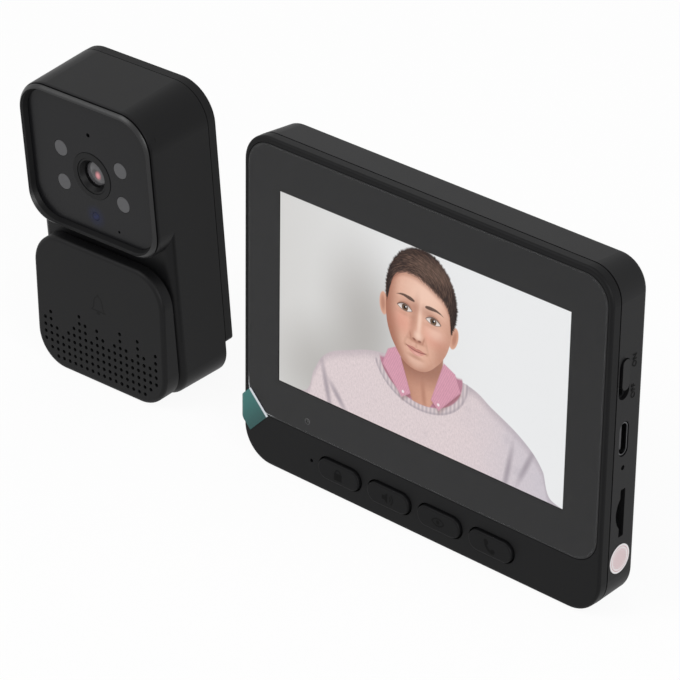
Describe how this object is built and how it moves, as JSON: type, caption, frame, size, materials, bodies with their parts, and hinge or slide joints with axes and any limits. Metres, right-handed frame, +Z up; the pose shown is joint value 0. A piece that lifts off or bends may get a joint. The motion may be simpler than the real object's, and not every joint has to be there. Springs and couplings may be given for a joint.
{
  "type": "video doorbell with monitor",
  "caption": "Wireless video doorbell with camera, call plate and wall bracket beside a table monitor with a wide screen, push keys, side ports and a fold-out stand.",
  "frame": {"origin": "on the floor, at the centre of the footprint box of the pair", "axes": "+X across from the doorbell to the monitor, +Y away from the viewer into the wall behind the doorbell, +Z up; the doorbell's front looks along -Y"},
  "size_m": [0.1982, 0.0484, 0.0932],
  "materials": {
    "doorbell_shell": "satin",
    "doorbell_back": "matte",
    "steel_screws": "satin",
    "camera_bezel": "satin",
    "camera_window": "gloss",
    "lens_black": "matte",
    "lens_glass": "gloss",
    "inner_black": "matte",
    "infrared_lens": "satin",
    "led_package": "gloss",
    "circuit_board": "satin",
    "light_guide": "gloss",
    "metal_can": "satin",
    "call_plate": "matte",
    "battery_foil": "satin",
    "connector_steel": "polished",
    "antenna_film": "satin",
    "bracket_plastic": "matte",
    "monitor_frame": "satin",
    "monitor_shell": "matte",
    "display_glass": "gloss",
    "lcd_glass": "gloss",
    "clear_film": "gloss",
    "teal_film": "gloss",
    "switch_plastic": "matte",
    "paper_label": "satin",
    "stand_plastic": "matte",
    "key_plastic": "satin"
  },
  "bodies": {
    "units": {"bell_housing": "doorbell_shell", "bell_back_cover": "doorbell_back", "bell_case_screws": "steel_screws", "camera_bezel": "camera_bezel", "camera_window": "camera_window", "lens_trim_ring": "lens_black", "lens_barrel": "lens_black", "lens_glass": "lens_glass", "lens_holder": "inner_black", "ir_lenses": "infrared_lens", "ir_leds": "led_package", "camera_board": "circuit_board", "light_sensor": "led_package", "indicator_light": "light_guide", "bell_microphone": "metal_can", "call_switch": "metal_can", "button_board": "circuit_board", "bell_speaker": "metal_can", "bell_main_board": "circuit_board", "bell_battery": "battery_foil", "bell_charge_port": "connector_steel", "bell_antenna": "antenna_film", "front_frame": "monitor_frame", "rear_shell": "monitor_shell", "display_panel": "display_glass", "status_light": "light_guide", "lcd_module": "lcd_glass", "screen_film": "clear_film", "film_pull_tab": "teal_film", "key_board": "circuit_board", "key_switches": "metal_can", "monitor_microphone": "metal_can", "power_switch_body": "metal_can", "usb_c_port": "connector_steel", "reset_switch": "metal_can", "reset_button": "switch_plastic", "card_socket": "connector_steel", "round_sticker": "paper_label", "monitor_main_board": "circuit_board", "monitor_battery": "battery_foil", "monitor_speaker": "metal_can", "monitor_antenna": "antenna_film", "monitor_case_screws": "steel_screws", "kickstand_pin": "connector_steel"},
    "bracket": {"wall_bracket": "bracket_plastic"},
    "call_plate": {"call_button_plate": "call_plate", "plate_screws": "steel_screws"},
    "switch_knob": {"power_switch_knob": "switch_plastic"},
    "stand_leg": {"kickstand": "stand_plastic"},
    "unlock_key": {"key_unlock": "key_plastic"},
    "volume_key": {"key_volume": "key_plastic"},
    "view_key": {"key_view": "key_plastic"},
    "answer_key": {"key_answer": "key_plastic"}
  },
  "joints": [
    {"name": "bracket_unhook", "type": "slide", "parent": "units", "child": "bracket", "axis": [0, 0, -1], "range_m": [0, 0.004]},
    {"name": "call_press", "type": "slide", "parent": "units", "child": "call_plate", "axis": [0, 1, 0], "range_m": [0, 0.0008], "stiffness_N_per_m": 1500},
    {"name": "power_slide", "type": "slide", "parent": "units", "child": "switch_knob", "axis": [-0.0031, -0.0975, -0.9952], "range_m": [0, 0.0026]},
    {"name": "stand_fold", "type": "hinge", "parent": "units", "child": "stand_leg", "pos_m": [0.03899, -0.00969, 0.00825], "axis": [0.9995, -0.0314, 0], "range_deg": [0, 96.82]},
    {"name": "key_unlock_press", "type": "slide", "parent": "units", "child": "unlock_key", "axis": [0.0313, 0.9947, -0.0976], "range_m": [0, 0.0006], "stiffness_N_per_m": 600},
    {"name": "key_volume_press", "type": "slide", "parent": "units", "child": "volume_key", "axis": [0.0313, 0.9947, -0.0976], "range_m": [0, 0.0006], "stiffness_N_per_m": 600},
    {"name": "key_view_press", "type": "slide", "parent": "units", "child": "view_key", "axis": [0.0313, 0.9947, -0.0976], "range_m": [0, 0.0006], "stiffness_N_per_m": 600},
    {"name": "key_answer_press", "type": "slide", "parent": "units", "child": "answer_key", "axis": [0.0313, 0.9947, -0.0976], "range_m": [0, 0.0006], "stiffness_N_per_m": 600}
  ]
}
